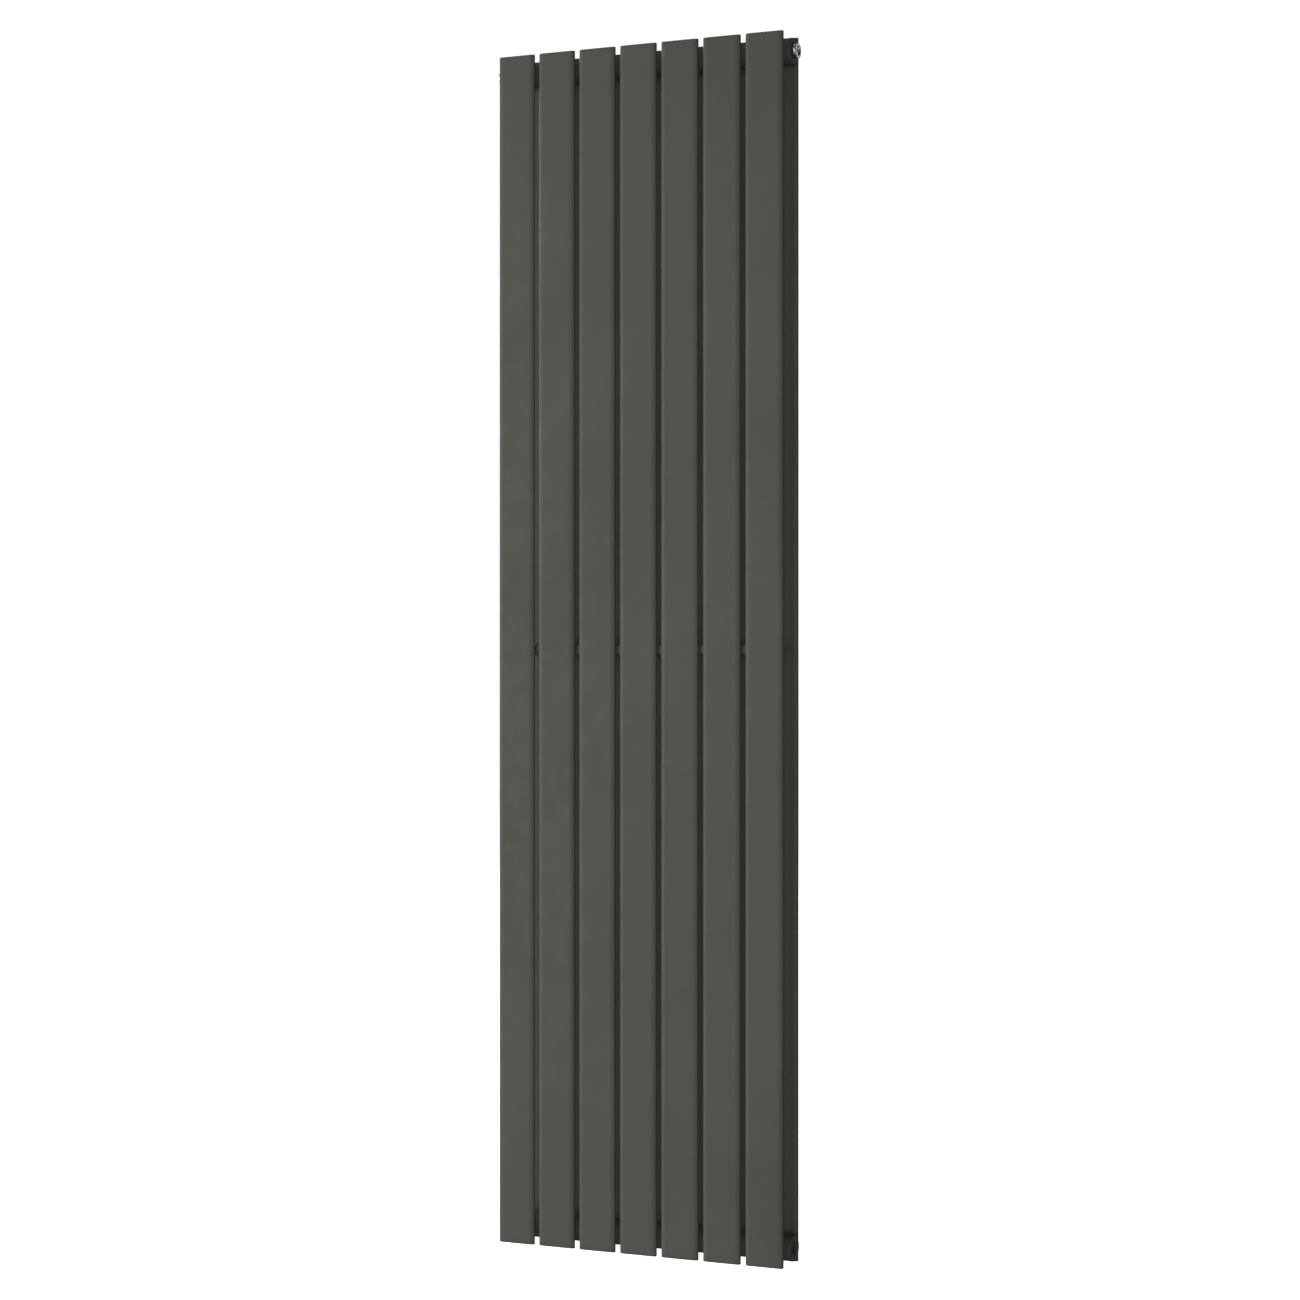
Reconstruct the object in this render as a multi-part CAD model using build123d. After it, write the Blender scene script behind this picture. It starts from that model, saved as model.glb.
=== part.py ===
from build123d import *
import os

# A tall wall-hung panel radiator: two rows of flat-oval steel tubes on two round headers.
#
# Frame: +X is to the right of someone facing the radiator, +Y points at the wall, +Z is up.
# The origin is the centre of the four wall fixing holes, on the wall side of the hanging lugs.
# Every length is in millimetres.

# ---- driving dimensions -------------------------------------------------------------------

HEIGHT = 1800.0  # over the end caps
TUBES_PER_ROW = 7
TUBE_WIDTH = 60.0
TUBE_DEPTH = 8.0
TUBE_SIDE = 8.0  # each narrow side is half an ellipse, which reaches this far from the flats
TUBE_WALL = 1.5
TUBE_PITCH = 67.8  # centre to centre across the radiator
ROW_PITCH = 57.0  # front row to rear row

CAP_THICKNESS = 3.0
CAP_EDGE_RADIUS = 1.3
CAP_SPIGOT_DEPTH = 3.0
WELD_GAP = 0.1  # between a welded piece and the wall that it is let into

HEADER_RADIUS = 19.0
HEADER_WALL = 2.0
HEADER_FROM_END = 25.0  # header axis to the nearer end of the tubes
HEADER_OVERHANG = 5.5  # how far a header passes the outer tube's edge, each side

SOCKET_FLANGE = 3.0
FLANGE_ROUNDING = 2.0
SOCKET_LENGTH = 15.0
THREAD_RADIUS = 9.316  # minor radius of a G1/2 inside thread
THREAD_CHAMFER = 1.2

WATERWAY_RADIUS = 8.0
NIPPLE_RADIUS = 10.0
DIVERTER_THICKNESS = 2.0

SPACER_HEIGHT = 14.0
SPACER_WALL = 1.5

LUG_DEPTH = 15.0
LUG_WIDTH = 40.0
LUG_HEIGHT = 46.0
LUG_SHEET = 2.5
LUG_BEND_RADIUS = 3.0
LUG_HOLE_RADIUS = 4.5  # for an M8 bolt
LUG_SPACING_Z = 1500.0
LUG_TUBES = (1, 5)  # the second and the sixth rear tube

SEAL_WIDTH = 1.4  # the sealing ring's thickness once it is squeezed
SEAL_RADIAL = 1.9
SEAL_ROUNDING = 0.6
HEAD_RADIUS = 12.2
HEAD_THICKNESS = 4.9
HEAD_EDGE = 1.6  # chamfer round the outer face
SHANK_LENGTH = 12.0
SHANK_CLEARANCE = 0.05
KEY_ACROSS_FLATS = 13.0  # hexagon socket in each chrome head
KEY_DEPTH = 4.6

SCREW_RADIUS = 4.0  # M8 bleed screw
SCREW_CLEARANCE = 0.05
SCREW_SQUARE = 5.0
SCREW_SQUARE_EDGE = 0.4
SCREW_BELOW_FACE = 0.3  # the square stops just inside the vent's face
SLOT_WIDTH = 1.0
SLOT_DEPTH = 1.2
SEAT_RADIUS = 1.5  # air passage that the screw's cone closes
SEAT_GAP = 0.4  # left between the cone and its seat when the screw is closed
VENT_GROOVE_RADIUS = 0.9
VENT_GROOVE_OFFSET = 4.3

# ---- derived positions --------------------------------------------------------------------

TOP = HEIGHT / 2
TUBE_TOP = TOP - CAP_THICKNESS
REAR_Y = -LUG_DEPTH - TUBE_DEPTH / 2  # middle plane of the rear row
FRONT_Y = REAR_Y - ROW_PITCH
HEADER_Y = (REAR_Y + FRONT_Y) / 2
HEADER_Z = TOP - HEADER_FROM_END
ROW_GAP = ROW_PITCH - TUBE_DEPTH

BANK_HALF = (TUBES_PER_ROW - 1) * TUBE_PITCH / 2 + TUBE_WIDTH / 2
HEADER_END = BANK_HALF + HEADER_OVERHANG
PIPE_END = HEADER_END - SOCKET_FLANGE  # the header pipe stops at the socket's flange
TUBE_XS = [(i - (TUBES_PER_ROW - 1) / 2) * TUBE_PITCH for i in range(TUBES_PER_ROW)]

HEAD_INNER = HEADER_END + SEAL_WIDTH
HEAD_OUTER = HEAD_INNER + HEAD_THICKNESS
KEY_FLOOR = HEAD_OUTER - KEY_DEPTH
SHANK_END = HEAD_INNER - SHANK_LENGTH
SHANK_RADIUS = THREAD_RADIUS - SHANK_CLEARANCE
SEAT_X = SHANK_END + 3.0  # wide end of the conical seat
SEAT_CONE = SCREW_RADIUS - SEAT_RADIUS  # the seat's cone is at 45 degrees


# ---- helpers ------------------------------------------------------------------------------


def across(radius, x_from, x_to):
    """A round bar along X, between two X positions, on the X axis."""
    bar = Cylinder(radius, abs(x_to - x_from), rotation=(0, 90, 0))
    return Pos((x_from + x_to) / 2, 0, 0) * bar


def cone(wide_radius, narrow_radius, x_wide, x_narrow):
    """A cone along X with its wide end at x_wide and its narrow end at x_narrow, on the left."""
    body = Cone(narrow_radius, wide_radius, x_wide - x_narrow, rotation=(0, 90, 0))
    return Pos((x_wide + x_narrow) / 2, 0, 0) * body


def through(radius, y_from, y_to):
    """A round bar along Y, between two Y positions, on the Y axis."""
    bar = Cylinder(radius, abs(y_to - y_from), rotation=(90, 0, 0))
    return Pos(0, (y_from + y_to) / 2, 0) * bar


def flat_oval(inset, height):
    """An upright bar on the Z axis with the tube's outline, drawn in by the inset all round."""
    side = TUBE_SIDE - inset
    half_depth = TUBE_DEPTH / 2 - inset
    flat_end = TUBE_WIDTH / 2 - TUBE_SIDE
    outline = [
        EllipticalCenterArc((flat_end, 0), side, half_depth, -90, arc_size=180),
        Line((flat_end, half_depth), (-flat_end, half_depth)),
        EllipticalCenterArc((-flat_end, 0), side, half_depth, 90, arc_size=180),
        Line((-flat_end, -half_depth), (flat_end, -half_depth)),
    ]
    return extrude(make_face(outline), height / 2, both=True)


def mirrored_to(piece, side):
    """The piece itself for the right side (+1), or its mirror image for the left side (-1)."""
    return piece if side > 0 else mirror(piece, Plane.YZ)


def save(piece, name):
    piece.label = name
    export_step(piece, f"parts/{name}.step")


# ---- tubes and caps -----------------------------------------------------------------------


def tube(row_y):
    """A flat-oval tube, with one waterway near each end, in the wall that faces the headers."""
    wall = flat_oval(0, 2 * TUBE_TOP) - flat_oval(TUBE_WALL, HEIGHT)
    inward = 1 if row_y < HEADER_Y else -1
    hole = through(WATERWAY_RADIUS, 0, inward * TUBE_DEPTH)
    return wall - [Pos(0, 0, z) * hole for z in (HEADER_Z, -HEADER_Z)]


def cap():
    """A top end cap with a rounded edge, and a spigot let into the tube. Its seat is at Z = 0."""
    lid = Pos(0, 0, CAP_THICKNESS / 2) * flat_oval(0, CAP_THICKNESS)
    lid = fillet(lid.faces().sort_by(Axis.Z)[-1].edges(), CAP_EDGE_RADIUS)
    spigot = flat_oval(TUBE_WALL + WELD_GAP, CAP_SPIGOT_DEPTH)
    return lid + Pos(0, 0, -CAP_SPIGOT_DEPTH / 2) * spigot


# ---- headers ------------------------------------------------------------------------------


def header():
    """A round pipe along X with a waterway through both walls at each tube."""
    pipe = across(HEADER_RADIUS, -PIPE_END, PIPE_END)
    pipe -= across(HEADER_RADIUS - HEADER_WALL, -HEADER_END, HEADER_END)
    hole = through(WATERWAY_RADIUS, -HEADER_RADIUS, HEADER_RADIUS)
    return pipe - [Pos(x, 0, 0) * hole for x in TUBE_XS]


def nipples():
    """The short collars that join one header to every tube in front of it and behind it."""
    collar = through(NIPPLE_RADIUS, -ROW_GAP / 2, ROW_GAP / 2)
    collar -= through(WATERWAY_RADIUS, -ROW_GAP, ROW_GAP)
    pair = collar - across(HEADER_RADIUS, -TUBE_PITCH, TUBE_PITCH)
    return Compound([Pos(x, 0, 0) * s for x in TUBE_XS for s in pair.solids()])


def socket():
    """A right-hand end socket: a flange as wide as the header, and a threaded spigot inside it."""
    flange = across(HEADER_RADIUS, PIPE_END, HEADER_END)
    flange = fillet(flange.edges().sort_by(Axis.X)[-1], FLANGE_ROUNDING)
    inner = HEADER_END - SOCKET_LENGTH
    spigot = across(HEADER_RADIUS - HEADER_WALL - WELD_GAP, inner, PIPE_END)
    body = flange + spigot - across(THREAD_RADIUS, inner - 1, HEADER_END + 1)
    mouth = THREAD_RADIUS + THREAD_CHAMFER
    return body - cone(mouth, THREAD_RADIUS, HEADER_END, HEADER_END - THREAD_CHAMFER)


def diverter():
    """The disc that closes the bottom header half way along, so the water rises to the top."""
    radius = HEADER_RADIUS - HEADER_WALL - WELD_GAP
    half = DIVERTER_THICKNESS / 2
    return Pos(TUBE_PITCH / 2, 0, 0) * across(radius, -half, half)


def spacer():
    """A flat rectangular tube between the rows, from the first tube's centre to the last one's."""
    length = TUBE_XS[-1] - TUBE_XS[0]
    bar = Box(length, ROW_GAP, SPACER_HEIGHT)
    hollow = Box(length + 2, ROW_GAP - 2 * SPACER_WALL, SPACER_HEIGHT - 2 * SPACER_WALL)
    return bar - hollow


# ---- hanging lugs -------------------------------------------------------------------------


def lug():
    """A bent strap that stands off the rear tube, open above and below, with a fixing hole."""
    outer = Pos(0, -LUG_DEPTH / 2, 0) * Box(LUG_WIDTH, LUG_DEPTH, LUG_HEIGHT)
    corners = outer.edges().filter_by(Axis.Z).sort_by(Axis.Y)[-2:]
    strap = fillet(corners, LUG_BEND_RADIUS)
    pocket_depth = LUG_DEPTH - LUG_SHEET
    pocket = Box(LUG_WIDTH - 2 * LUG_SHEET, pocket_depth, LUG_HEIGHT + 2)
    strap -= Pos(0, -LUG_SHEET - pocket_depth / 2, 0) * pocket
    return strap - through(LUG_HOLE_RADIUS, -LUG_DEPTH, 1)


# ---- chrome fittings ----------------------------------------------------------------------


def seal():
    """The squeezed sealing ring between a socket and a chrome head."""
    ring = across(SHANK_RADIUS + SEAL_RADIAL, HEADER_END, HEAD_INNER)
    ring -= across(SHANK_RADIUS, HEADER_END - 1, HEAD_INNER + 1)
    outer_edges = ring.edges().filter_by(GeomType.CIRCLE).sort_by(SortBy.RADIUS)[-2:]
    return fillet(outer_edges, SEAL_ROUNDING)


def fitting_blank():
    """A right-hand chrome fitting before it is drilled: a round head with a hexagon socket."""
    head = across(HEAD_RADIUS, HEAD_INNER, HEAD_OUTER)
    face_edge = head.faces().sort_by(Axis.X)[-1].edges()
    head = chamfer(face_edge, HEAD_EDGE)
    key_plane = Plane((KEY_FLOOR, 0, 0), x_dir=(0, 0, 1), z_dir=(1, 0, 0))
    hexagon = key_plane * RegularPolygon(KEY_ACROSS_FLATS / 2, 6, major_radius=False)
    shank = across(SHANK_RADIUS, SHANK_END, HEAD_INNER)
    return head + shank - extrude(hexagon, KEY_DEPTH + 1)


def vent():
    """The air vent's body: a bore for the bleed screw, a seat, and a groove that lets air out."""
    body = fitting_blank()
    body -= across(SCREW_RADIUS, SEAT_X, KEY_FLOOR + 1)
    body -= cone(SCREW_RADIUS, SEAT_RADIUS, SEAT_X, SEAT_X - SEAT_CONE)
    body -= across(SEAT_RADIUS, SHANK_END - 1, SEAT_X)
    groove = across(VENT_GROOVE_RADIUS, SEAT_X + 1, KEY_FLOOR + 1)
    return body - Pos(0, 0, -VENT_GROOVE_OFFSET) * groove


def bleed_screw():
    """A screw with a conical tip, and a slotted square head that a radiator key turns."""
    radius = SCREW_RADIUS - SCREW_CLEARANCE
    tip_start = SEAT_X + SEAT_GAP
    shaft = across(radius, tip_start, KEY_FLOOR)
    tip = cone(radius, SEAT_RADIUS, tip_start, tip_start - radius + SEAT_RADIUS)
    end = HEAD_OUTER - SCREW_BELOW_FACE
    square = Pos((KEY_FLOOR + end) / 2, 0, 0) * Box(end - KEY_FLOOR, SCREW_SQUARE, SCREW_SQUARE)
    square = chamfer(square.faces().sort_by(Axis.X)[-1].edges(), SCREW_SQUARE_EDGE)
    slot = Pos(end, 0, 0) * Box(2 * SLOT_DEPTH, SLOT_WIDTH, 2 * SCREW_SQUARE)
    return shaft + tip + square - slot


# ---- assembly -----------------------------------------------------------------------------


def save_tube_bank():
    end_cap = cap()
    for row, row_y in (("front", FRONT_Y), ("rear", REAR_Y)):
        row_tube = tube(row_y)
        for number, x in enumerate(TUBE_XS, start=1):
            place = Pos(x, row_y, 0)
            top_cap = place * Pos(0, 0, TUBE_TOP) * end_cap
            save(place * row_tube, f"{row}_tube_{number}")
            save(top_cap, f"{row}_top_cap_{number}")
            save(mirror(top_cap, Plane.XY), f"{row}_bottom_cap_{number}")


def save_headers():
    for level, z in (("top", HEADER_Z), ("bottom", -HEADER_Z)):
        place = Pos(0, HEADER_Y, z)
        save(place * header(), f"header_{level}")
        save(place * nipples(), f"nipples_{level}")
        for side, direction in (("left", -1), ("right", 1)):
            save(place * mirrored_to(socket(), direction), f"socket_{level}_{side}")
    save(Pos(0, HEADER_Y, -HEADER_Z) * diverter(), "flow_diverter")
    save(Pos(0, HEADER_Y, 0) * spacer(), "spacer_bar")


def save_lugs():
    places = [
        Pos(TUBE_XS[i], 0, z) for i in LUG_TUBES for z in (-LUG_SPACING_Z / 2, LUG_SPACING_Z / 2)
    ]
    save(Compound([place * lug() for place in places]), "hanging_lugs")


def save_fittings():
    place = Pos(0, HEADER_Y, HEADER_Z)
    save(place * vent(), "vent_body")
    save(place * seal(), "vent_seal")
    save(place * bleed_screw(), "bleed_screw")
    save(place * mirrored_to(fitting_blank(), -1), "blanking_plug")
    save(place * mirrored_to(seal(), -1), "plug_seal")


os.makedirs("parts", exist_ok=True)
save_tube_bank()
save_headers()
save_lugs()
save_fittings()
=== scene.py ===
import math

import bmesh
import bpy
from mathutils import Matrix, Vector


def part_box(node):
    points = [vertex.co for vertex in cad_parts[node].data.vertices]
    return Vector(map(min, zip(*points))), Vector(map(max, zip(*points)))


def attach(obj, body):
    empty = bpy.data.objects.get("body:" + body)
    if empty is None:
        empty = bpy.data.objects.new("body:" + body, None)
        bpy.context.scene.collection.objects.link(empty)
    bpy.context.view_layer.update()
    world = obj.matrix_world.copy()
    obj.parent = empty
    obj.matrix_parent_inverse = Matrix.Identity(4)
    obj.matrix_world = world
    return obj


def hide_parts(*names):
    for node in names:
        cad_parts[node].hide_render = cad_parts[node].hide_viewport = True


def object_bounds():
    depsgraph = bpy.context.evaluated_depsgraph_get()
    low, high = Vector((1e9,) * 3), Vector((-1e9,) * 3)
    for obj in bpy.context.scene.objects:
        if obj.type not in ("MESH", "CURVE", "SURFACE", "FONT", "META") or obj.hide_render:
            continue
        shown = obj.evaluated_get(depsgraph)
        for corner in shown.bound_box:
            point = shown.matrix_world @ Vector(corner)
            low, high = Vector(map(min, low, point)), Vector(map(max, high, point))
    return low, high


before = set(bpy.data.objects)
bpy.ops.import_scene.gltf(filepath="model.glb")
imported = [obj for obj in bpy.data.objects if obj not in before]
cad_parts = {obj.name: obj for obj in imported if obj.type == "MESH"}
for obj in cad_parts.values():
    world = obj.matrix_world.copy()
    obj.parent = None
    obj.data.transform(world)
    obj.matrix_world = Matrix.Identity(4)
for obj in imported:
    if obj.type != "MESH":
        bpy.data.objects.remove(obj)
cad_low, cad_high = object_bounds()

# The looks of a tall wall-hung panel radiator. Lengths are in metres, in the CAD's frame:
# +X is to the right of someone facing the radiator, +Y points at the wall, +Z is up.

# ---- sizes that the frame doesn't give ----------------------------------------------------

MM = 0.001
ARC_STEPS = 28  # facets of the half ellipse at each side of a tube
CIRCLE_STEPS = 96  # facets of a header pipe, a nipple and a socket
FINE_CIRCLE_STEPS = 2 * CIRCLE_STEPS  # facets of a chrome fitting and of a flange's weld
HOLE_STEPS = CIRCLE_STEPS // 2  # facets of a bolt hole
FLAT_MARGIN = 0.8 * MM  # a flat face's own normals start this far from a rounding
RIM_MARGIN = 0.3 * FLAT_MARGIN  # the same on a narrow rim round a thread or a hexagon
SHARP_ANGLE = math.radians(32)

TUBE_WALL = 1.5 * MM
TUBE_SIDE = 8.0 * MM  # each narrow side is half an ellipse, which reaches this far
SEAM = 0.22 * MM  # fine groove where a cap, pipe or socket was welded and ground
CAP_EDGE_RADIUS = 1.3 * MM
CAP_ARC_STEPS = 8
CAP_FLAT_MARGIN = 0.3 * MM
SPIGOT_GAP = 0.1 * MM

PIPE_WALL = 2.0 * MM
WATERWAY_RADIUS = 8.0 * MM
NIPPLE_RADIUS = 10.0 * MM
NIPPLE_WELD = 2.6 * MM  # leg of the fillet weld at each end of a nipple
WELD_RIPPLE = 0.16 * MM
NIPPLE_RIPPLES = 30

FLANGE_ROUNDING = 2.0 * MM
FLANGE_ARC_STEPS = 7
SOCKET_LENGTH = 15.0 * MM
THREAD_RADIUS = 9.316 * MM  # minor radius of a G1/2 inside thread
THREAD_DEPTH = 1.1 * MM
THREAD_PITCH = 1.814 * MM
THREAD_CHAMFER = 1.2 * MM
CHAMFER_PAINT = 0.3 * THREAD_CHAMFER  # the paint ends this far in from the mouth
RINGS_PER_PITCH = 8
FLANGE_BEAD_WIDTH = 2.4 * MM
FLANGE_BEAD_HEIGHT = 0.45 * MM
FLANGE_BEAD_STEPS = 8
FLANGE_RIPPLES = 64
FLANGE_RIPPLE = 0.16  # as a share of the bead's height

KEY_ACROSS_FLATS = 13.0 * MM
KEY_DEPTH = 4.6 * MM
KEY_COUNTERSINK = 7.8 * MM  # radius of the cone cut into the mouth of the hexagon
KEY_COUNTERSINK_SLOPE = 0.55
HEAD_EDGE = 1.9 * MM  # radius of the rounding round the outer face
HEAD_EDGE_STEPS = 8
HEAD_BACK_EDGE = 0.3 * MM
SHANK_CLEARANCE = 0.05 * MM
SCREW_BORE = 4.0 * MM
SEAT_RADIUS = 1.5 * MM
SEAT_FROM_SHANK_END = 3.0 * MM
GROOVE_ABOVE_SEAT = 1.0 * MM  # where the air groove ends
VENT_GROOVE_RADIUS = 0.9 * MM
VENT_GROOVE_OFFSET = 4.3 * MM

SPACER_WALL = 1.5 * MM
SPACER_EDGE = 1.6 * MM
SPACER_INNER_EDGE = SPACER_EDGE - 0.7 * SPACER_WALL
SPACER_EDGE_STEPS = 6
SPACER_WELD = 2.2 * MM
SPACER_WELD_SUNK = 0.6 * SPACER_EDGE  # the corner's rounding puts the weld this far in
SPACER_WELD_HALF = 9.0 * MM

LUG_HEIGHT = 46.0 * MM
LUG_HALF_WIDTH = 20.0 * MM
LUG_SHEET = 2.5 * MM
LUG_BEND = 3.0 * MM
LUG_BEND_STEPS = 8
LUG_HOLE = 4.5 * MM
LUG_EDGE = 0.35 * MM
LUG_EDGE_STEPS = 2
LUG_EDGE_ANGLE = math.radians(50)  # only edges sharper than this are eased
LUG_WELD = 2.2 * MM
LUG_WELD_MARGIN = 3.0 * MM

BEAD_PITCH = 1.5 * MM  # distance between the ripples of a straight weld
BEAD_RINGS_PER_PITCH = 5
BEAD_MIN_RINGS = 8
BEAD_RIPPLE = 0.09  # as a share of the weld's leg
BEAD_TIP = 0.25  # share of its leg that a weld starts and ends with
BEAD_TAPER = 1.5  # how fast it swells to its full leg from there
BEAD_SUNK = 0.05  # how far its root goes behind the corner, as a share of the legs
BEAD_CROWN = (0.74, 0.38)  # the two points of its bulge, as shares of one leg and the other

ROWS = ("front", "rear")
LEVELS = ("top", "bottom")
SIDES = {"left": -1, "right": 1}
TUBE_COUNT = sum(name.startswith("front_tube_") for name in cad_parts)
BODY = "radiator"


# ---- materials ----------------------------------------------------------------------------


NOISE_LOW, NOISE_HIGH = 0.3, 0.7  # nearly all of a noise pattern's values lie between these


class Finish:
    """A procedural material, built up node by node round one Principled shader."""

    def __init__(self, name, metallic=0.0, centre=(0, 0, 0)):
        self.material = bpy.data.materials.new(name)
        self.material.use_nodes = True
        self.tree = self.material.node_tree
        self.shader = self.tree.nodes["Principled BSDF"]
        self.shader.inputs["Metallic"].default_value = metallic
        coordinates = self.tree.nodes.new("ShaderNodeTexCoord")
        self.place = self.tree.nodes.new("ShaderNodeMapping")
        self.place.inputs["Location"].default_value = [-value for value in centre]
        self.link(coordinates.outputs["Object"], self.place.inputs["Vector"])

    def link(self, output, socket):
        self.tree.links.new(output, socket)

    def noise(self, scale, detail, stretch=(1, 1, 1)):
        """A noise pattern with this many features to the metre, each way times the stretch."""
        squeeze = self.tree.nodes.new("ShaderNodeMapping")
        squeeze.inputs["Scale"].default_value = stretch
        texture = self.tree.nodes.new("ShaderNodeTexNoise")
        texture.inputs["Scale"].default_value = scale
        texture.inputs["Detail"].default_value = detail
        self.link(self.place.outputs["Vector"], squeeze.inputs["Vector"])
        self.link(squeeze.outputs["Vector"], texture.inputs["Vector"])
        return texture.outputs["Fac"]

    def turned(self, scale, unevenness):
        """Fine rings about the X axis through the material's centre, as a lathe leaves."""
        texture = self.tree.nodes.new("ShaderNodeTexWave")
        texture.wave_type = "RINGS"
        texture.rings_direction = "X"
        texture.inputs["Scale"].default_value = scale
        texture.inputs["Distortion"].default_value = unevenness
        self.link(self.place.outputs["Vector"], texture.inputs["Vector"])
        return texture.outputs["Fac"]

    def colour(self, pattern, dark, light):
        """Drives the base colour from dark to light over the range of a noise pattern."""
        ramp = self.tree.nodes.new("ShaderNodeValToRGB")
        first, last = ramp.color_ramp.elements
        first.position, first.color = NOISE_LOW, (*dark, 1)
        last.position, last.color = NOISE_HIGH, (*light, 1)
        self.link(pattern, ramp.inputs["Fac"])
        self.link(ramp.outputs["Color"], self.shader.inputs["Base Color"])

    def roughness(self, pattern, smooth, rough):
        """Drives the roughness between two values over the range of a noise pattern."""
        spread = self.tree.nodes.new("ShaderNodeMapRange")
        spread.inputs["From Min"].default_value = NOISE_LOW
        spread.inputs["From Max"].default_value = NOISE_HIGH
        spread.inputs["To Min"].default_value = smooth
        spread.inputs["To Max"].default_value = rough
        self.link(pattern, spread.inputs["Value"])
        self.link(spread.outputs["Result"], self.shader.inputs["Roughness"])

    def bump(self, *layers):
        """Stacks bumps, each a (pattern, height in metres, strength), coarse ones first."""
        normal = None
        for pattern, height, strength in layers:
            node = self.tree.nodes.new("ShaderNodeBump")
            node.inputs["Distance"].default_value = height
            node.inputs["Strength"].default_value = strength
            self.link(pattern, node.inputs["Height"])
            if normal is not None:
                self.link(normal, node.inputs["Normal"])
            normal = node.outputs["Normal"]
        self.link(normal, self.shader.inputs["Normal"])


def powder_coat():
    """Greenish anthracite powder coat: satin, with the orange peel that the powder leaves."""
    finish = Finish("powder_coat_anthracite")
    mottling = finish.noise(5.0, detail=3.0)
    finish.colour(mottling, (0.0705, 0.0798, 0.0612), (0.0817, 0.0922, 0.0710))
    finish.roughness(finish.noise(40.0, detail=4.0), 0.50, 0.62)
    finish.bump(
        (finish.noise(420.0, detail=2.0), 0.10 * MM, 0.35),
        (finish.noise(2600.0, detail=1.0), 0.02 * MM, 0.30),
    )
    finish.shader.inputs["Specular IOR Level"].default_value = 0.30
    return finish.material


def chrome(name, centre):
    """Bright chrome plate with faint lathe rings, hairline scratches and a little haze."""
    finish = Finish(name, metallic=1.0, centre=centre)
    haze = finish.noise(160.0, detail=3.0)
    scratches = finish.noise(700.0, detail=4.0, stretch=(1, 1, 5))
    finish.colour(haze, (0.60, 0.61, 0.62), (0.76, 0.77, 0.78))
    finish.roughness(scratches, 0.07, 0.20)
    finish.bump(
        (finish.noise(140.0, detail=1.0), 0.12 * MM, 0.25),
        (finish.turned(900.0, unevenness=0.6), 0.01 * MM, 0.25),
    )
    return finish.material


def nickel_brass(centre):
    """Nickel plate worn to show warm brass, with fine marks across the screw."""
    finish = Finish("nickel_brass_worn", metallic=1.0, centre=centre)
    finish.colour(finish.noise(900.0, detail=4.0), (0.48, 0.40, 0.27), (0.62, 0.59, 0.52))
    finish.roughness(finish.noise(1500.0, detail=3.0), 0.22, 0.42)
    finish.bump((finish.noise(2500.0, detail=2.0), 0.02 * MM, 0.5))
    return finish.material


def bare_steel():
    """Unpainted steel of a machined thread, with cutting oil stains and a dull grain."""
    finish = Finish("bare_steel_dull", metallic=1.0)
    finish.colour(finish.noise(220.0, detail=5.0), (0.13, 0.12, 0.11), (0.30, 0.29, 0.28))
    finish.roughness(finish.noise(500.0, detail=4.0), 0.35, 0.60)
    finish.bump((finish.noise(1800.0, detail=3.0), 0.02 * MM, 0.5))
    return finish.material


def rubber():
    """Black sealing rubber with a dusty, slightly grained skin."""
    finish = Finish("seal_rubber_black")
    dust = finish.noise(600.0, detail=4.0)
    finish.colour(dust, (0.010, 0.010, 0.011), (0.024, 0.024, 0.025))
    finish.roughness(finish.noise(900.0, detail=3.0), 0.60, 0.80)
    finish.bump((finish.noise(2200.0, detail=2.0), 0.03 * MM, 0.4))
    return finish.material


# ---- mesh helpers -------------------------------------------------------------------------


def skin(bm, rings, loop=False):
    """Joins rings of equal length with faces. Ends are closed flat, or joined to each other."""
    rows = [[bm.verts.new(point) for point in ring] for ring in rings]
    pairs = list(zip(rows, rows[1:]))
    if loop:
        pairs.append((rows[-1], rows[0]))
    else:
        bm.faces.new(rows[0])
        bm.faces.new(rows[-1])
    count = len(rows[0])
    for lower, upper in pairs:
        for i in range(count):
            j = (i + 1) % count
            bm.faces.new((lower[i], lower[j], upper[j], upper[i]))


def in_scene(name, bm):
    """Turns a bmesh of closed shells into an object, with every face's normal outward."""
    bmesh.ops.recalc_face_normals(bm, faces=bm.faces)
    mesh = bpy.data.meshes.new(name)
    bm.to_mesh(mesh)
    bm.free()
    made = bpy.data.objects.new(name, mesh)
    bpy.context.scene.collection.objects.link(made)
    return made


def piece(name, bm, material, slot, *nodes):
    """A smooth piece that rides on the radiator and stands for CAD nodes, if any are given."""
    made = in_scene(name, bm)
    mesh = made.data
    mesh.polygons.foreach_set("use_smooth", [True] * len(mesh.polygons))
    mesh.set_sharp_from_angle(angle=SHARP_ANGLE)
    mesh.materials.append(material)
    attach(made, BODY)
    if nodes:
        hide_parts(*nodes)
    return made


def oval_ring(low, high, inset, z):
    """A level flat oval in a tube's box, drawn in by the inset, with half ellipses for sides."""
    centre = (low + high) / 2
    half_depth = (high.y - low.y) / 2 - inset
    side = TUBE_SIDE - inset
    flat_end = (high.x - low.x) / 2 - TUBE_SIDE
    ring = []
    for way in (1, -1):
        outline = [(flat_end - FLAT_MARGIN, -half_depth)]
        for step in range(ARC_STEPS + 1):
            angle = math.pi * (step / ARC_STEPS - 0.5)
            outline.append((flat_end + side * math.cos(angle), half_depth * math.sin(angle)))
        outline.append((flat_end - FLAT_MARGIN, half_depth))
        ring += [Vector((centre.x + way * x, centre.y + way * y, z)) for x, y in outline]
    return ring


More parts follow.
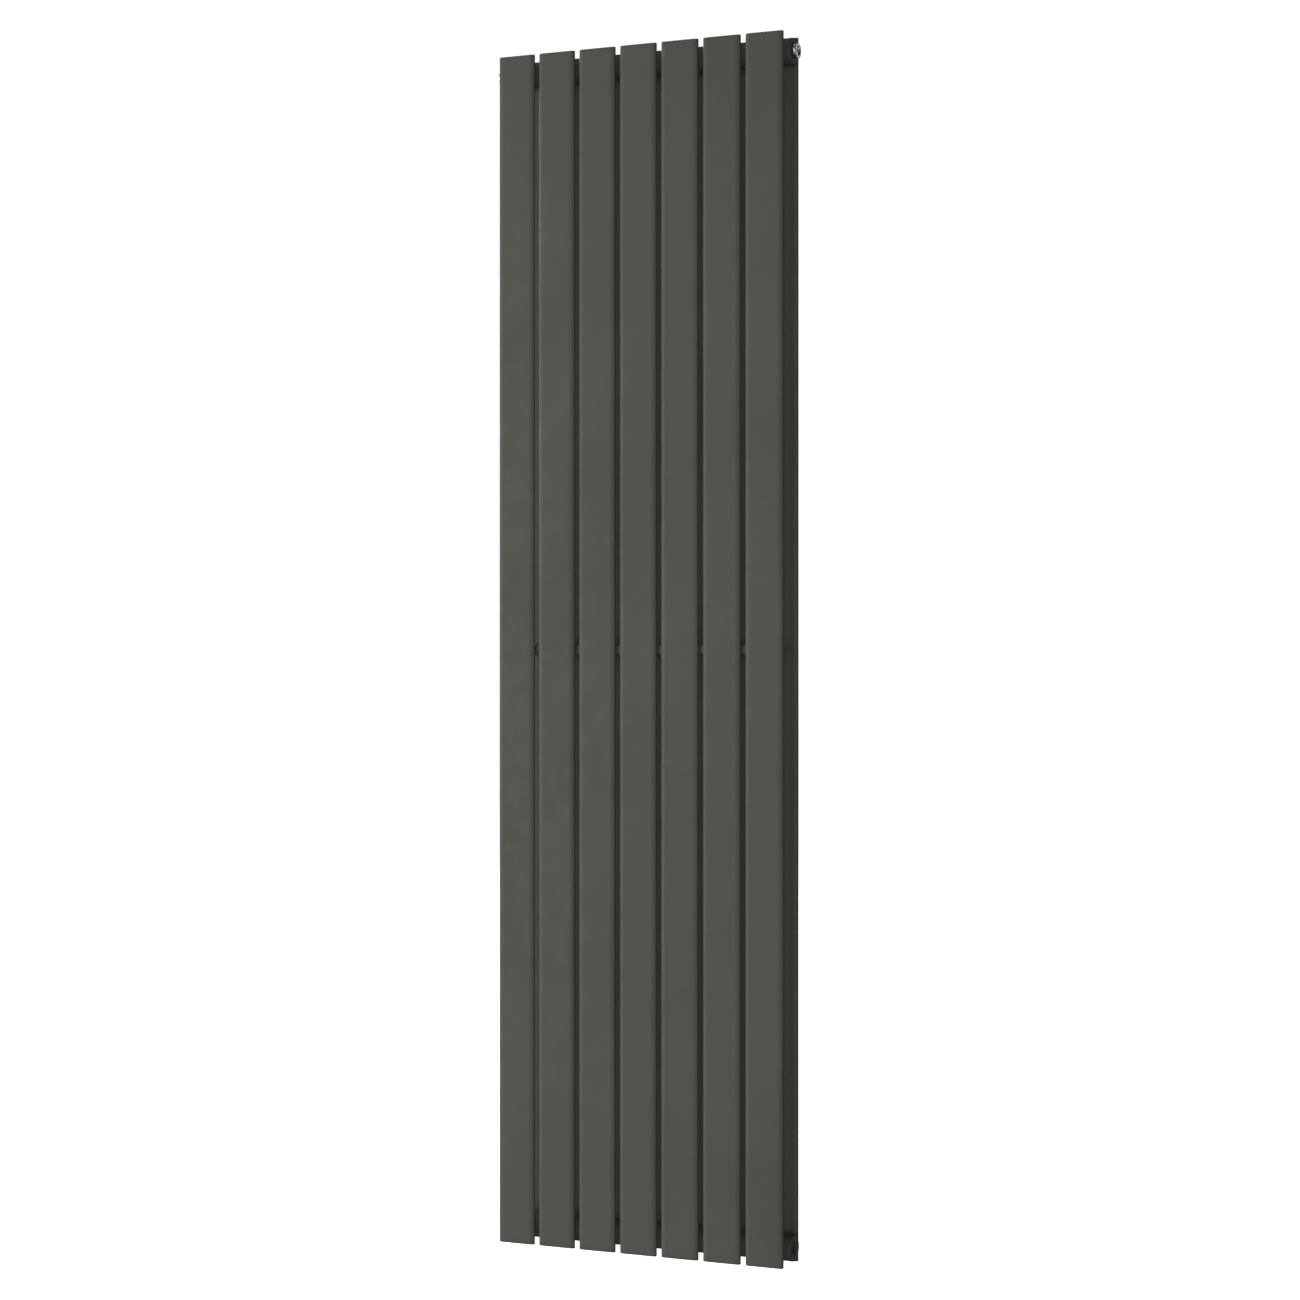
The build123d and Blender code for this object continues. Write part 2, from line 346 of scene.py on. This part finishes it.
def round_ring(x, axis, radius, steps=CIRCLE_STEPS):
    """A ring about a line along X. The radius is a number or a function of the angle."""
    ring = []
    for step in range(steps):
        angle = 2 * math.pi * step / steps
        r = radius(angle) if callable(radius) else radius
        ring.append(Vector((x, axis.y + r * math.cos(angle), axis.z + r * math.sin(angle))))
    return ring


def rounding(radius, steps):
    """A rounded edge's points, each as its distance in from the side and short of the face."""
    points = []
    for step in range(steps + 1):
        angle = math.pi / 2 * step / steps
        points.append((radius * (1 - math.cos(angle)), radius * (1 - math.sin(angle))))
    return points


def tube_middles():
    """The X of each tube's middle, in the order of their numbers."""
    for number in range(1, TUBE_COUNT + 1):
        low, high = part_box(f"front_tube_{number}")
        yield (low.x + high.x) / 2


def bead(bm, start, end, leg_a, leg_b):
    """A straight rippled fillet weld from start to end, in the corner between its two legs."""
    run = end - start
    more, less = BEAD_CROWN
    steps = max(BEAD_MIN_RINGS, round(run.length / BEAD_PITCH) * BEAD_RINGS_PER_PITCH)
    rings = []
    for step in range(steps + 1):
        share = step / steps
        along = share * run.length
        taper = min(1.0, BEAD_TIP + BEAD_TAPER * math.sin(math.pi * share))
        size = taper * (1 + BEAD_RIPPLE * math.sin(2 * math.pi * along / BEAD_PITCH))
        corner = start + run * share
        rings.append(
            [
                corner - (leg_a + leg_b) * BEAD_SUNK,
                corner + leg_a * size,
                corner + (leg_a * more + leg_b * less) * size,
                corner + (leg_a * less + leg_b * more) * size,
                corner + leg_b * size,
            ]
        )
    skin(bm, rings)


# ---- tubes and caps -----------------------------------------------------------------------


def tube_shell(row, number, paint):
    """A hollow flat-oval tube, with its ends eased where the caps were welded on."""
    node = f"{row}_tube_{number}"
    low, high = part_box(node)
    profile = [
        (SEAM, low.z),
        (0, low.z + SEAM),
        (0, high.z - SEAM),
        (SEAM, high.z),
        (TUBE_WALL, high.z),
        (TUBE_WALL, low.z),
    ]
    bm = bmesh.new()
    skin(bm, [oval_ring(low, high, inset, z) for inset, z in profile], loop=True)
    piece(f"{node}_shell", bm, paint, "powder_coat", node)


def end_cap(row, level, number, paint):
    """A tube's welded end cap: a spigot inside the tube and a lid with a rounded edge."""
    node = f"{row}_{level}_cap_{number}"
    low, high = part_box(node)
    tube_low, tube_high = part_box(f"{row}_tube_{number}")
    way = 1 if level == "top" else -1
    seat = tube_high.z if way > 0 else tube_low.z
    tip = high.z if way > 0 else low.z
    foot = low.z if way > 0 else high.z
    spigot = TUBE_WALL + SPIGOT_GAP
    profile = [(spigot, foot), (spigot, seat), (SEAM, seat), (0, seat + way * SEAM)]
    for inset, short in rounding(CAP_EDGE_RADIUS, CAP_ARC_STEPS):
        profile.append((inset, tip - way * short))
    profile.append((CAP_EDGE_RADIUS + CAP_FLAT_MARGIN, tip))
    bm = bmesh.new()
    skin(bm, [oval_ring(low, high, inset, z) for inset, z in profile])
    piece(f"{node}_lid", bm, paint, "powder_coat", node)


# ---- headers ------------------------------------------------------------------------------


def header(level):
    """The X of a header pipe's two ends, a point on its axis, and its outer radius."""
    low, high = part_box(f"header_{level}")
    axis = (low + high) / 2
    return low.x, high.x, axis, high.z - axis.z


def header_pipe(level, paint):
    """The hollow header pipe, with a fine groove before each end socket."""
    node = f"header_{level}"
    left, right, axis, radius = header(level)
    profile = [
        (left, radius - SEAM),
        (left + SEAM, radius),
        (right - SEAM, radius),
        (right, radius - SEAM),
        (right, radius - PIPE_WALL),
        (left, radius - PIPE_WALL),
    ]
    bm = bmesh.new()
    skin(bm, [round_ring(x, axis, r) for x, r in profile], loop=True)
    piece(f"{node}_pipe", bm, paint, "powder_coat", node)


def nipple(bm, axis, x, tube_y, pipe_radius):
    """One collar from the pipe to a tube's flat face, with a rippled fillet weld at each end."""
    way = 1 if tube_y > axis.y else -1
    reach = abs(tube_y - axis.y)
    edge = NIPPLE_RADIUS + NIPPLE_WELD
    # Each row is the radius, the share of the way from the tube to the pipe, and the ripple.
    profile = [
        (edge, 0.0, 0.3),
        (edge - 0.28 * NIPPLE_WELD, 0.13, 1.0),
        (edge - 0.62 * NIPPLE_WELD, 0.32, 1.0),
        (edge - 0.76 * NIPPLE_WELD, 0.5, 0.2),
        (edge - 0.62 * NIPPLE_WELD, 0.68, 1.0),
        (edge - 0.28 * NIPPLE_WELD, 0.87, 1.0),
        (edge, 1.0, 0.3),
        (WATERWAY_RADIUS, 1.0, 0.0),
        (WATERWAY_RADIUS, 0.0, 0.0),
    ]
    rings = []
    for radius, share, ripple in profile:
        ring = []
        for step in range(CIRCLE_STEPS):
            angle = 2 * math.pi * step / CIRCLE_STEPS
            r = radius + ripple * WELD_RIPPLE * math.sin(NIPPLE_RIPPLES * angle)
            rise = r * math.sin(angle)
            pipe_reach = math.sqrt(pipe_radius**2 - rise**2)
            y = axis.y + way * (reach + share * (pipe_reach - reach))
            ring.append(Vector((x + r * math.cos(angle), y, axis.z + rise)))
        rings.append(ring)
    skin(bm, rings, loop=True)


def nipples(level, paint):
    """All the collars of one header, front and rear."""
    node = f"nipples_{level}"
    low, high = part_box(node)
    _, _, axis, pipe_radius = header(level)
    bm = bmesh.new()
    for x in tube_middles():
        for tube_y in (low.y, high.y):
            nipple(bm, axis, x, tube_y, pipe_radius)
    piece(f"{node}_welded", bm, paint, "powder_coat", node)


def thread_radius(x):
    """The radius of a right-hand inside thread at this X, as a function of the angle."""

    def at(angle):
        phase = x / THREAD_PITCH - angle / (2 * math.pi)
        return THREAD_RADIUS + THREAD_DEPTH * (0.5 + 0.5 * math.cos(2 * math.pi * phase))

    return at


def socket(level, side, paint, steel):
    """An end socket: a painted flange as wide as the pipe, and a bare steel threaded bore."""
    way = SIDES[side]
    node = f"socket_{level}_{side}"
    low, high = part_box(node)
    pipe_left, pipe_right, axis, _ = header(level)
    radius = high.z - axis.z
    face, seat = (high.x, pipe_right) if way > 0 else (low.x, pipe_left)
    inner = face - way * SOCKET_LENGTH
    mouth = THREAD_RADIUS + THREAD_CHAMFER
    body = radius - PIPE_WALL - SPIGOT_GAP
    profile = [
        (inner, body),
        (seat, body),
        (seat, radius - SEAM),
        (seat + way * SEAM, radius),
    ]
    for inset, short in rounding(FLANGE_ROUNDING, FLANGE_ARC_STEPS):
        profile.append((face - way * short, radius - inset))
    profile += [
        (face, radius - FLANGE_ROUNDING - FLAT_MARGIN),
        (face, mouth + RIM_MARGIN),
        (face, mouth),
    ]
    outer = [round_ring(x, axis, r) for x, r in profile]
    start = face - way * THREAD_CHAMFER
    length = SOCKET_LENGTH - THREAD_CHAMFER
    count = round(length / THREAD_PITCH * RINGS_PER_PITCH)
    thread = []
    for step in range(count + 1):
        x = start - way * length * step / count
        thread.append(round_ring(x, axis, thread_radius(x)))
    bm = bmesh.new()
    skin(bm, outer + thread, loop=True)
    made = piece(f"{node}_body", bm, paint, "powder_coat", node)
    made.data.materials.append(steel)
    for polygon in made.data.polygons:
        place = polygon.center
        from_axis = math.hypot(place.y - axis.y, place.z - axis.z)
        if from_axis < mouth - CHAMFER_PAINT:
            polygon.material_index = 1


def rippled(foot, rise):
    """The radius of a weld round a pipe, from its foot up, as a function of the angle."""

    def at(angle):
        return foot + rise * (1 + FLANGE_RIPPLE * math.sin(FLANGE_RIPPLES * angle))

    return at


def flange_welds(level, paint):
    """The low rippled bead round each end of a header, where the socket's flange starts."""
    left, right, axis, radius = header(level)
    bm = bmesh.new()
    for middle in (left, right):
        profile = []
        for step in range(FLANGE_BEAD_STEPS + 1):
            share = 2 * step / FLANGE_BEAD_STEPS - 1
            rise = FLANGE_BEAD_HEIGHT * math.sqrt(max(0.0, 1 - share**2))
            profile.append((share, rippled(radius - SEAM, rise)))
        profile += [(1, radius - 2 * SEAM), (-1, radius - 2 * SEAM)]
        rings = []
        for share, r in profile:
            x = middle + share * FLANGE_BEAD_WIDTH / 2
            rings.append(round_ring(x, axis, r, FINE_CIRCLE_STEPS))
        skin(bm, rings, loop=True)
    piece(f"flange_welds_{level}", bm, paint, "powder_coat")


def spacer_section(x, low, high, inset, edge):
    """A ring across the spacer bar: its box drawn in by the inset, with rounded corners."""
    middle = (low + high) / 2
    half_y, half_z = (high.y - low.y) / 2, (high.z - low.z) / 2
    ring = []
    for turn, (way_y, way_z) in enumerate(((1, 1), (-1, 1), (-1, -1), (1, -1))):
        centre_y = middle.y + way_y * (half_y - inset - edge)
        centre_z = middle.z + way_z * (half_z - inset - edge)
        for step in range(SPACER_EDGE_STEPS + 1):
            angle = math.pi / 2 * (turn + step / SPACER_EDGE_STEPS)
            y, z = centre_y + edge * math.cos(angle), centre_z + edge * math.sin(angle)
            ring.append(Vector((x, y, z)))
    return ring


def spacer_bar(paint):
    """The rectangular tube between the rows, with short welds above and below at each tube."""
    node = "spacer_bar"
    low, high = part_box(node)
    rings = [
        spacer_section(low.x, low, high, 0, SPACER_EDGE),
        spacer_section(high.x, low, high, 0, SPACER_EDGE),
        spacer_section(high.x, low, high, SPACER_WALL, SPACER_INNER_EDGE),
        spacer_section(low.x, low, high, SPACER_WALL, SPACER_INNER_EDGE),
    ]
    bm = bmesh.new()
    skin(bm, rings, loop=True)
    for x in tube_middles():
        start = max(x - SPACER_WELD_HALF, low.x + SPACER_WELD)
        end = min(x + SPACER_WELD_HALF, high.x - SPACER_WELD)
        for y, way_y in ((low.y, 1), (high.y, -1)):
            for z, way_z in ((low.z, -1), (high.z, 1)):
                root = z - way_z * SPACER_WELD_SUNK
                bead(
                    bm,
                    Vector((start, y, root)),
                    Vector((end, y, root)),
                    Vector((0, way_y * SPACER_WELD, 0)),
                    Vector((0, 0, way_z * SPACER_WELD)),
                )
    piece(f"{node}_welded", bm, paint, "powder_coat", node)


# ---- hanging lugs -------------------------------------------------------------------------


def bend(centre_x, radius, first, last):
    """The arc of a lug's bend seen from above, between two angles in degrees."""
    points = []
    for step in range(LUG_BEND_STEPS + 1):
        angle = math.radians(first + (last - first) * step / LUG_BEND_STEPS)
        points.append((centre_x + radius * math.cos(angle), radius * math.sin(angle) - LUG_BEND))
    return points


def strap_outline(depth):
    """The plan of a lug from above: a channel with two rounded bends on the wall side."""
    half = LUG_HALF_WIDTH
    inside = LUG_BEND - LUG_SHEET
    right, left = half - LUG_BEND, LUG_BEND - half
    return [
        (half, -depth),
        *bend(right, LUG_BEND, 0, 90),
        *bend(left, LUG_BEND, 90, 180),
        (-half, -depth),
        (LUG_SHEET - half, -depth),
        *bend(left, inside, 180, 90),
        *bend(right, inside, 90, 0),
        (half - LUG_SHEET, -depth),
    ]


def drilled(bm, x, z, low_y, high_y):
    """The same solid as a mesh, with a bolt hole through it along Y and its edges eased."""
    rings = []
    for y in (low_y - LUG_SHEET, high_y + LUG_SHEET):
        ring = []
        for step in range(HOLE_STEPS):
            angle = 2 * math.pi * step / HOLE_STEPS
            across, rise = LUG_HOLE * math.cos(angle), LUG_HOLE * math.sin(angle)
            ring.append(Vector((x + across, y, z + rise)))
        rings.append(ring)
    cutter = bmesh.new()
    skin(cutter, rings)
    blank = in_scene("lug_blank", bm)
    drill = in_scene("lug_drill", cutter)
    cut = blank.modifiers.new("cut", "BOOLEAN")
    cut.object = drill
    cut.solver = "EXACT"
    ease = blank.modifiers.new("ease", "BEVEL")
    ease.width = LUG_EDGE
    ease.segments = LUG_EDGE_STEPS
    ease.limit_method = "ANGLE"
    ease.angle_limit = LUG_EDGE_ANGLE
    depsgraph = bpy.context.evaluated_depsgraph_get()
    mesh = bpy.data.meshes.new_from_object(blank.evaluated_get(depsgraph))
    for scrap in (blank, drill):
        bpy.data.objects.remove(scrap)
    return mesh


def hanging_lugs(paint):
    """Four bent straps on the backs of two rear tubes, each with a weld down both sides."""
    node = "hanging_lugs"
    low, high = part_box(node)
    outline = strap_outline(high.y - low.y)
    half_height = LUG_HEIGHT / 2
    weld_half = half_height - LUG_WELD_MARGIN
    welded = bmesh.new()
    for x in (low.x + LUG_HALF_WIDTH, high.x - LUG_HALF_WIDTH):
        for z in (low.z + half_height, high.z - half_height):
            rings = []
            for end_z in (z - half_height, z + half_height):
                rings.append([Vector((x + px, high.y + py, end_z)) for px, py in outline])
            strap = bmesh.new()
            skin(strap, rings)
            scrap = drilled(strap, x, z, low.y, high.y)
            welded.from_mesh(scrap)
            bpy.data.meshes.remove(scrap)
            for way in (-1, 1):
                bead(
                    welded,
                    Vector((x + way * LUG_HALF_WIDTH, low.y, z - weld_half)),
                    Vector((x + way * LUG_HALF_WIDTH, low.y, z + weld_half)),
                    Vector((way * LUG_WELD, 0, 0)),
                    Vector((0, LUG_WELD, 0)),
                )
    piece(f"{node}_welded", welded, paint, "powder_coat", node)


# ---- chrome fittings ----------------------------------------------------------------------


def hexagon(angle):
    """The radius of the key's hexagon, with a corner at the top, as a function of the angle."""
    from_flat = (angle - math.pi / 2) % (math.pi / 3) - math.pi / 6
    return KEY_ACROSS_FLATS / 2 / math.cos(from_flat)


def vent_bore(angle):
    """The radius of the screw's bore, with the air groove below it."""
    off = abs((angle + math.pi / 2 + math.pi) % (2 * math.pi) - math.pi)
    sideways = VENT_GROOVE_OFFSET * math.sin(off)
    if off > math.pi / 2 or sideways > VENT_GROOVE_RADIUS:
        return SCREW_BORE
    reach = VENT_GROOVE_OFFSET * math.cos(off)
    return max(SCREW_BORE, reach + math.sqrt(VENT_GROOVE_RADIUS**2 - sideways**2))


def head_rings(axis, way, face, back, shank_end, shank_radius, head_radius):
    """The rings from a fitting's shank, round its head, to the floor of its hexagon."""
    corner = 0.3 * HEAD_BACK_EDGE
    profile = [
        (shank_end, shank_radius),
        (back, shank_radius),
        (back, head_radius - HEAD_BACK_EDGE),
        (back + way * corner, head_radius - corner),
        (back + way * HEAD_BACK_EDGE, head_radius),
    ]
    for inset, short in rounding(HEAD_EDGE, HEAD_EDGE_STEPS):
        profile.append((face - way * short, head_radius - inset))
    profile += [
        (face, head_radius - HEAD_EDGE - RIM_MARGIN),
        (face, KEY_COUNTERSINK + RIM_MARGIN),
        (face, KEY_COUNTERSINK),
    ]
    rings = [round_ring(x, axis, r, FINE_CIRCLE_STEPS) for x, r in profile]
    mouth = []
    for point in round_ring(face, axis, hexagon, FINE_CIRCLE_STEPS):
        across = math.hypot(point.y - axis.y, point.z - axis.z)
        point.x -= way * KEY_COUNTERSINK_SLOPE * (KEY_COUNTERSINK - across)
        mouth.append(point)
    return [*rings, mouth, round_ring(face - way * KEY_DEPTH, axis, hexagon, FINE_CIRCLE_STEPS)]


def fitting(node, side, bored, material):
    """A chrome vent body or plug, with a hexagon socket in its head."""
    way = SIDES[side]
    low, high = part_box(node)
    seal_low, seal_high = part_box("vent_seal" if bored else "plug_seal")
    axis = (low + high) / 2
    head_radius = high.z - axis.z
    face, shank_end = (high.x, low.x) if way > 0 else (low.x, high.x)
    back = seal_high.x if way > 0 else seal_low.x
    shank_radius = THREAD_RADIUS - SHANK_CLEARANCE
    rings = head_rings(axis, way, face, back, shank_end, shank_radius, head_radius)
    if bored:
        seat = shank_end + way * SEAT_FROM_SHANK_END
        bore = [
            (face - way * KEY_DEPTH, vent_bore),
            (seat + way * GROOVE_ABOVE_SEAT, vent_bore),
            (seat, SCREW_BORE),
            (seat - way * (SCREW_BORE - SEAT_RADIUS), SEAT_RADIUS),
            (shank_end, SEAT_RADIUS),
        ]
        rings += [round_ring(x, axis, r, FINE_CIRCLE_STEPS) for x, r in bore]
    bm = bmesh.new()
    skin(bm, rings, loop=bored)
    piece(f"{node}_chrome", bm, material, "chrome", node)


# ---- the radiator -------------------------------------------------------------------------


def build_radiator():
    """Makes every piece, and gives the CAD nodes that show as they are their materials."""
    paint = powder_coat()
    steel = bare_steel()
    for row in ROWS:
        for number in range(1, TUBE_COUNT + 1):
            tube_shell(row, number, paint)
            for level in LEVELS:
                end_cap(row, level, number, paint)
    for level in LEVELS:
        header_pipe(level, paint)
        nipples(level, paint)
        flange_welds(level, paint)
        for side in SIDES:
            socket(level, side, paint, steel)
    spacer_bar(paint)
    hanging_lugs(paint)

    vent_low, vent_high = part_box("vent_body")
    vent_axis = (vent_low + vent_high) / 2
    fitting("vent_body", "right", True, chrome("chrome_vent", vent_axis))
    fitting("blanking_plug", "left", False, chrome("chrome_plug", vent_axis))
    shown_as_they_are = {
        "bleed_screw": nickel_brass(vent_axis),
        "vent_seal": rubber(),
        "plug_seal": rubber(),
        "flow_diverter": steel,
    }
    for node, material in shown_as_they_are.items():
        for material_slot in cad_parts[node].material_slots:
            material_slot.material = material


# ---- studio -------------------------------------------------------------------------------

WHITE = (1, 1, 1, 1)
CAMERA_AZIMUTH = 25.11  # degrees to the right of straight on; the camera is level
CAMERA_DISTANCE = 4.342
CAMERA_ASIDE = 0.0019  # how far to its right the camera stands off the radiator's middle
CAMERA_DOWN = 0.00056
CAMERA_LENS = 80.24  # in millimetres, as is the sensor's width
SENSOR_WIDTH = 36.0
FLOOR_BELOW = 0.16
FLOOR_HALF = 14.0
FLOOR_COLOUR = (0.9, 0.9, 0.9, 1)
FLOOR_ROUGHNESS = 0.9
BACKDROP_BRIGHTNESS = 1.05  # what the camera sees of the floor and of the world
WALLS_BRIGHTNESS = 0.065
SOFTBOX_DISTANCE = 9.0
# Name, azimuth and elevation in degrees as the camera's, brightness, width and height.
SOFTBOXES = (
    ("key_left", -42, 0, 0.41, 2.6, 4.5),
    ("side_left", -80, 0, 0.32, 3.0, 4.5),
    ("strip_left", -25, 0, 0.12, 1.6, 14.0),
    ("front_right", 25, 0, 0.255, 1.6, 4.5),
    ("floor_bounce", 25, -42, 0.085, 4.0, 5.0),
    ("card_top_left", -62, 57, 0.068, 6.0, 6.0),
    ("card_back_right", 153, 4, 0.055, 5.0, 6.0),
    ("back_left", 235, 20, 0.75, 4.0, 5.0),
)


def build_camera():
    """The photograph's camera, level and aimed almost at the radiator's middle."""
    centre = (cad_low + cad_high) / 2
    azimuth = math.radians(CAMERA_AZIMUTH)
    back = Vector((math.sin(azimuth), -math.cos(azimuth), 0))
    aside = Vector((math.cos(azimuth), math.sin(azimuth), 0))
    data = bpy.data.cameras.new("camera")
    data.lens = CAMERA_LENS
    data.sensor_width = SENSOR_WIDTH
    camera = bpy.data.objects.new("camera", data)
    camera.location = centre + back * CAMERA_DISTANCE + aside * CAMERA_ASIDE
    camera.location.z -= CAMERA_DOWN
    camera.rotation_euler = (math.pi / 2, 0, azimuth)
    bpy.context.scene.collection.objects.link(camera)
    bpy.context.scene.camera = camera


def softbox(name, azimuth, elevation, brightness, width, height):
    """A far soft light facing the radiator. A white card facing it would shine at brightness."""
    centre = (cad_low + cad_high) / 2
    a, e = math.radians(azimuth), math.radians(elevation)
    away = Vector((math.sin(a) * math.cos(e), -math.cos(a) * math.cos(e), math.sin(e)))
    data = bpy.data.lights.new(name, "AREA")
    data.shape = "RECTANGLE"
    data.size, data.size_y = width, height
    data.energy = brightness * (math.pi * SOFTBOX_DISTANCE) ** 2
    light = bpy.data.objects.new(name, data)
    light.location = centre + away * SOFTBOX_DISTANCE
    light.rotation_euler = (-away).to_track_quat("-Z", "Y").to_euler()
    light.visible_camera = False
    bpy.context.scene.collection.objects.link(light)


def build_world():
    """White to the camera; to the object, the dim walls of a studio beyond the soft lights."""
    world = bpy.data.worlds.new("studio")
    world.use_nodes = True
    tree = world.node_tree
    seen = tree.nodes["Background"]
    seen.inputs["Color"].default_value = WHITE
    seen.inputs["Strength"].default_value = BACKDROP_BRIGHTNESS
    walls = tree.nodes.new("ShaderNodeBackground")
    walls.inputs["Color"].default_value = WHITE
    walls.inputs["Strength"].default_value = WALLS_BRIGHTNESS
    path = tree.nodes.new("ShaderNodeLightPath")
    mix = tree.nodes.new("ShaderNodeMixShader")
    tree.links.new(path.outputs["Is Camera Ray"], mix.inputs["Fac"])
    tree.links.new(walls.outputs["Background"], mix.inputs[1])
    tree.links.new(seen.outputs["Background"], mix.inputs[2])
    tree.links.new(mix.outputs["Shader"], tree.nodes["World Output"].inputs["Surface"])
    bpy.context.scene.world = world


def build_floor():
    """A white floor that meets the background unseen. It doesn't light or shade the radiator."""
    material = bpy.data.materials.new("studio_floor_white")
    material.use_nodes = True
    shader = material.node_tree.nodes["Principled BSDF"]
    shader.inputs["Base Color"].default_value = FLOOR_COLOUR
    shader.inputs["Roughness"].default_value = FLOOR_ROUGHNESS
    shader.inputs["Emission Color"].default_value = WHITE
    shader.inputs["Emission Strength"].default_value = BACKDROP_BRIGHTNESS
    z = cad_low.z - FLOOR_BELOW
    corners = [(-1, -1), (1, -1), (1, 1), (-1, 1)]
    bm = bmesh.new()
    bm.faces.new([bm.verts.new((x * FLOOR_HALF, y * FLOOR_HALF, z)) for x, y in corners])
    mesh = bpy.data.meshes.new("studio_floor")
    bm.to_mesh(mesh)
    bm.free()
    mesh.materials.append(material)
    floor = bpy.data.objects.new("studio_floor", mesh)
    floor.visible_diffuse = False
    floor.visible_glossy = False
    floor.visible_shadow = False
    bpy.context.scene.collection.objects.link(floor)


def build_studio():
    """The camera, the backdrop and the lights, with colours shown as they're rendered."""
    build_camera()
    build_world()
    build_floor()
    for row in SOFTBOXES:
        softbox(*row)
    scene = bpy.context.scene
    scene.view_settings.view_transform = "Standard"
    scene.view_settings.look = "None"


build_radiator()
build_studio()
